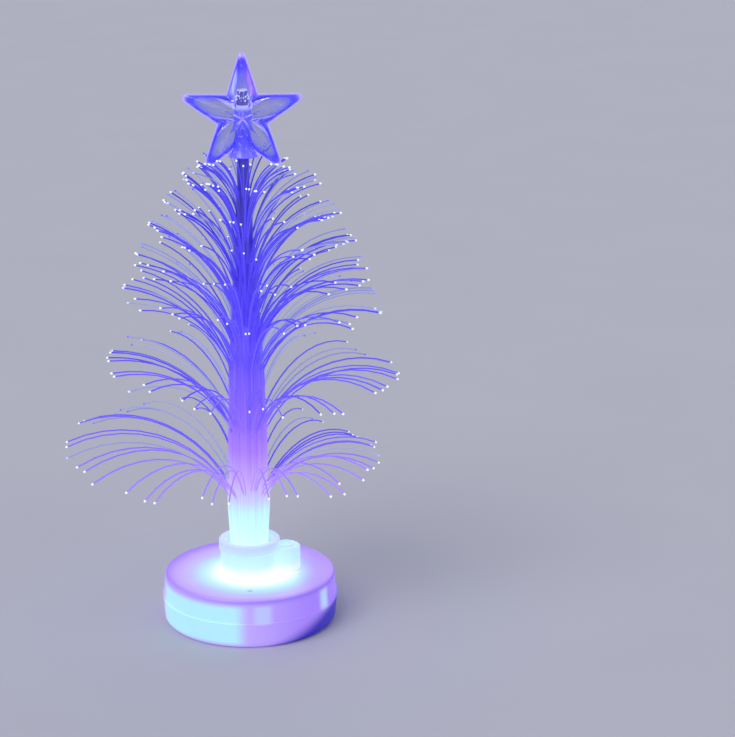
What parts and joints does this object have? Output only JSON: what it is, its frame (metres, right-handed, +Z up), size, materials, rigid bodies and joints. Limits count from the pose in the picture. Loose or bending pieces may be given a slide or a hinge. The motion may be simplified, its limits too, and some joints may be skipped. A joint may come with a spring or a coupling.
{
  "type": "fiber optic christmas tree",
  "caption": "Small battery table tree: a round lit base with a push button, tiers of light-carrying fibres fanning from a collar, and a hollow clear star on top.",
  "frame": {"origin": "centre of the flat underside of the base, on the axis of the tree", "axes": "+Z up along the trunk to the star, -Y towards the front of the star, +X towards the push button"},
  "size_m": [0.0745, 0.0707, 0.1298],
  "materials": {
    "base_shell": "milky translucent moulding, lit from inside",
    "button_cap": "milky moulding, satin",
    "switch_housing": "black moulding",
    "switch_actuator": "cream moulding",
    "board": "green solder resist",
    "lamp_lens": "clear resin, lit",
    "tinned_lead": "tinned wire",
    "chip": "black chip body",
    "cell_can": "nickel plated",
    "contact_strip": "pressed strip",
    "ferrule_tube": "thin drawn tube",
    "fibre": "clear fibre carrying blue light",
    "star_shell": "clear polished moulding",
    "star_sleeve": "clear moulding"
  },
  "bodies": {
    "base": {"bottom_cover": "base_shell", "switch_body": "switch_housing", "circuit_board": "board", "led_lens": "lamp_lens", "led_leads": "tinned_lead", "resistor": "chip", "cell_a": "cell_can", "cell_b": "cell_can", "cell_c": "cell_can", "lower_bridge": "contact_strip", "upper_bridge": "contact_strip", "positive_clip": "contact_strip", "negative_strip": "contact_strip"},
    "tree": {"top_cover": "base_shell", "ferrule": "ferrule_tube", "fibre_root": "fibre", "fibre_tier_01": "fibre", "fibre_tier_02": "fibre", "fibre_tier_03": "fibre", "fibre_tier_04": "fibre", "fibre_tier_05": "fibre", "fibre_tier_06": "fibre", "fibre_tier_07": "fibre", "fibre_tier_08": "fibre", "fibre_core": "fibre", "star_socket": "star_sleeve", "star_front": "star_shell", "star_back": "star_shell"},
    "button": {"push_button": "button_cap"},
    "plunger": {"switch_plunger": "switch_actuator"}
  },
  "joints": [
    {"name": "base_twist", "type": "hinge", "parent": "base", "child": "tree", "pos_m": [0, 0, 0.006], "axis": [0, 0, 1], "range_deg": [0, 25]},
    {"name": "button_press", "type": "slide", "parent": "tree", "child": "button", "axis": [0, 0, -1], "range_m": [0, 0.0005], "stiffness_N_per_m": 3000},
    {"name": "plunger_press", "type": "slide", "parent": "base", "child": "plunger", "axis": [0, 0, -1], "range_m": [0, 0.0005]}
  ],
  "couplings": [
    {"joint": "plunger_press", "follows": "button_press", "ratio": 1}
  ]
}
